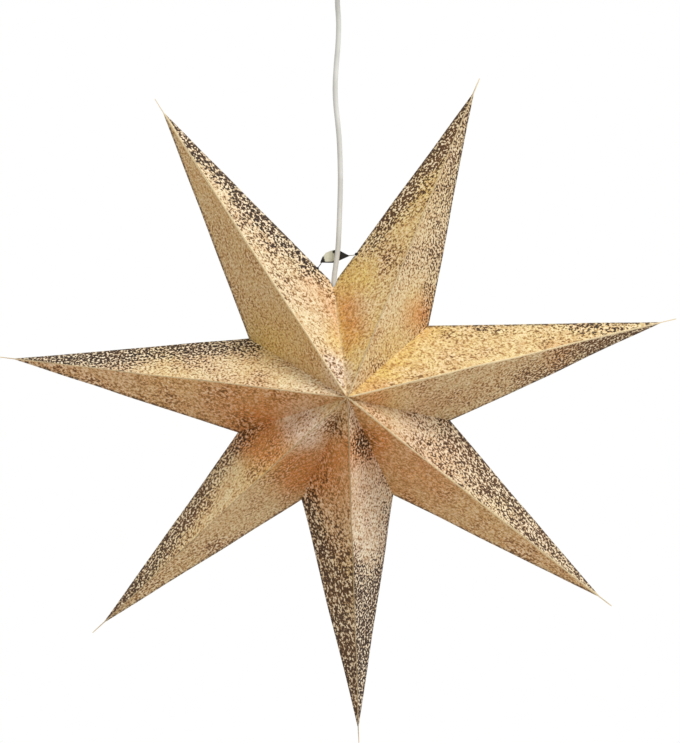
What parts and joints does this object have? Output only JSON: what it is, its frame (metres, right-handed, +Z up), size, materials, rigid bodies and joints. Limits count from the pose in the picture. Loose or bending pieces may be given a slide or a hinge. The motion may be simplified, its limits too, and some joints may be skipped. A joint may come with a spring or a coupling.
{
  "type": "paper star",
  "caption": "Folded paper star lantern in speckled gold card, tied shut round the white cord that it hangs on, with a lampholder and lamp inside and a ceiling fitting above.",
  "frame": {"origin": "on the ceiling, at the middle of the ceiling bracket's upper face; the star hangs below it", "axes": "+Z up, +X to the right of the star's front, and the front faces -Y"},
  "size_m": [0.5899, 0.1546, 0.7116],
  "materials": {
    "printed_sheet": "card printed with a crackled gold and brown speckle, slightly metallic",
    "tie_ribbon": "dark woven ribbon, tied",
    "cord_sheath": "white round flexible sheath",
    "white_plastic": "smooth moulded",
    "contact_ceramic": "unglazed",
    "contact_brass": "bright",
    "opal_lamp": "opal, smooth",
    "zinc_steel": "zinc plated",
    "block_plastic": "moulded"
  },
  "bodies": {
    "root": {"point_1_left": "printed_sheet", "point_1_right": "printed_sheet", "point_2_left": "printed_sheet", "point_2_right": "printed_sheet", "point_3_left": "printed_sheet", "point_3_right": "printed_sheet", "point_4_left": "printed_sheet", "point_4_right": "printed_sheet", "point_5_left": "printed_sheet", "point_5_right": "printed_sheet", "point_6_left": "printed_sheet", "point_6_right": "printed_sheet", "point_7_left": "printed_sheet", "point_7_right": "printed_sheet", "closing_tie": "tie_ribbon", "pendant_cord": "cord_sheath", "cord_bush": "white_plastic", "lampholder_cap": "white_plastic", "lampholder_body": "white_plastic", "contact_base": "contact_ceramic", "centre_contact": "contact_brass", "screw_shell": "contact_brass", "lamp": "opal_lamp", "ceiling_cup": "white_plastic", "cup_cord_grip": "white_plastic", "cup_grip_nut": "white_plastic", "ceiling_bracket": "zinc_steel", "cup_side_screws": "zinc_steel", "terminal_block": "block_plastic"}
  },
  "joints": []
}
